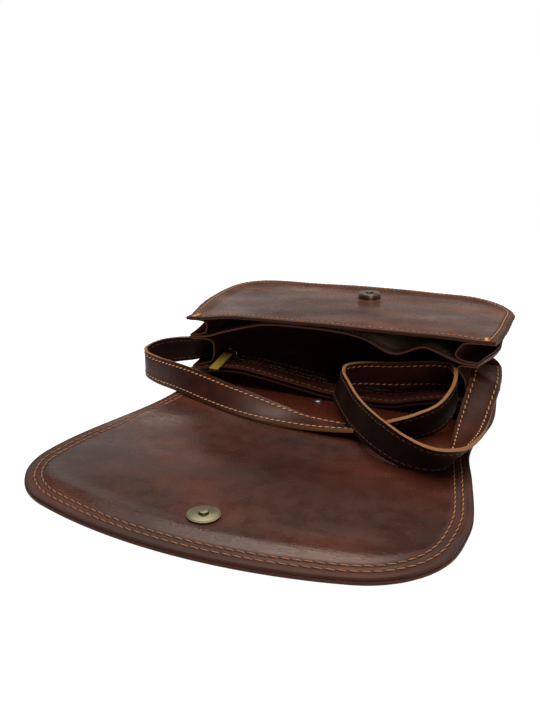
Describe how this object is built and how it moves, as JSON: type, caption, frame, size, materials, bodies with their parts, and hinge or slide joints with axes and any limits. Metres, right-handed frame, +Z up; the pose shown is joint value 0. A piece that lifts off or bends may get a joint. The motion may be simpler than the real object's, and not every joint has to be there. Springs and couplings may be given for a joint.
{
  "type": "crossbody bag",
  "caption": "Flap-over leather crossbody bag with folded side gussets, a zip pocket, a magnetic snap and a stitched strap, lying open on its back.",
  "frame": {"origin": "middle of the back panel's outer face, on the surface that the bag lies on", "axes": "+Z up from the surface, -Y towards the mouth and the open flap, +Y towards the bag's bottom"},
  "size_m": [0.2818, 0.3487, 0.0633],
  "materials": {
    "leather": "glossy waxed vegetable-tanned leather, mottled dark brown",
    "lining_leather": "glossy waxed leather, mottled reddish brown",
    "inner_leather": "satin dark brown leather",
    "strap_leather": "satin dark brown leather with tan cut edges",
    "zip_cloth": "matt woven tape",
    "brass": "antique brass, brushed",
    "bronze": "dark antique bronze",
    "steel": "bright nickel"
  },
  "bodies": {
    "root": {"outer_leather": "leather", "flap_lining": "lining_leather", "front_panel": "leather", "front_divider": "inner_leather", "zip_pocket_upper": "inner_leather", "zip_pocket_lower": "inner_leather", "front_gusset": "inner_leather", "middle_gusset": "inner_leather", "rear_gusset": "inner_leather", "zip_tape": "zip_cloth", "zip_chain": "bronze", "zip_slider": "bronze", "zip_pull": "brass", "snap_stud": "brass", "snap_socket": "bronze", "inner_rivet": "steel", "strap": "strap_leather"}
  },
  "joints": []
}
